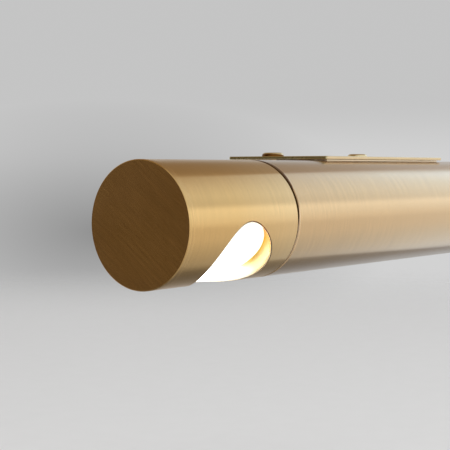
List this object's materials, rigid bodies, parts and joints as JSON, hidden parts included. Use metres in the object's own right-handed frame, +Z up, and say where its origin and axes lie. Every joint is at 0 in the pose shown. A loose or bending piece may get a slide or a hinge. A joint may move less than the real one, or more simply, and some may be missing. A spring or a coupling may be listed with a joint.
{
  "type": "wall light",
  "caption": "Round brushed brass tube light hung in front of a wall by a thin plate; its end sections turn to aim light out of round side holes with opal lenses.",
  "frame": {"origin": "on the wall plane, at the middle of the wall bracket's back face, level with the tube's axis", "axes": "+X along the tube, +Y into the wall, +Z up; the light's front faces -Y"},
  "size_m": [0.358, 0.077, 0.0541],
  "materials": {
    "brushed_brass": "brushed",
    "polished_brass": "polished",
    "zinc_steel": "zinc plated",
    "aluminium": "machined",
    "opal_lens": "opal, lit from behind",
    "white_reflector": "satin white",
    "white_board": "white solder mask",
    "light_chip": "phosphor",
    "driver_case": "satin",
    "terminal_plastic": "satin",
    "black_nylon": "matt",
    "black_rubber": "matt",
    "lead_sheath": "satin"
  },
  "bodies": {
    "fixture": {"main_tube": "brushed_brass", "top_plate": "brushed_brass", "plate_strip": "brushed_brass", "plate_screws": "polished_brass", "tube_screws": "polished_brass", "saddle_bar": "aluminium", "led_driver": "driver_case", "driver_screws": "zinc_steel", "wall_bracket": "zinc_steel", "clinch_nuts": "zinc_steel", "back_cover": "brushed_brass", "rear_nipple": "zinc_steel", "rear_nuts": "zinc_steel", "terminal_block": "terminal_plastic", "terminal_screws": "zinc_steel", "earth_screw": "zinc_steel", "cable_grommet": "black_rubber", "supply_lead": "lead_sheath", "tube_plug_left": "aluminium", "pivot_nipple_left": "zinc_steel", "pivot_nuts_left": "zinc_steel", "friction_washer_left": "black_nylon", "disc_spring_left": "zinc_steel", "head_lead_left": "lead_sheath", "tube_plug_right": "aluminium", "pivot_nipple_right": "zinc_steel", "pivot_nuts_right": "zinc_steel", "friction_washer_right": "black_nylon", "disc_spring_right": "zinc_steel", "head_lead_right": "lead_sheath"},
    "head_left": {"end_shell_left": "brushed_brass", "end_disc_left": "brushed_brass", "end_hub_left": "aluminium", "stop_pin_left": "zinc_steel", "set_screws_left": "polished_brass", "light_well_left": "brushed_brass", "lens_left": "opal_lens", "heat_sink_left": "aluminium", "led_board_left": "white_board", "led_chip_left": "light_chip", "board_screws_left": "zinc_steel", "reflector_left": "white_reflector"},
    "head_right": {"end_shell_right": "brushed_brass", "end_disc_right": "brushed_brass", "end_hub_right": "aluminium", "stop_pin_right": "zinc_steel", "set_screws_right": "polished_brass", "light_well_right": "brushed_brass", "lens_right": "opal_lens", "heat_sink_right": "aluminium", "led_board_right": "white_board", "led_chip_right": "light_chip", "board_screws_right": "zinc_steel", "reflector_right": "white_reflector"}
  },
  "joints": [
    {"name": "left_head_turn", "type": "hinge", "parent": "fixture", "child": "head_left", "pos_m": [-0.109, -0.052, 0], "axis": [1, 0, 0], "range_deg": [-165, 165]},
    {"name": "right_head_turn", "type": "hinge", "parent": "fixture", "child": "head_right", "pos_m": [0.109, -0.052, 0], "axis": [1, 0, 0], "range_deg": [-165, 165]}
  ]
}
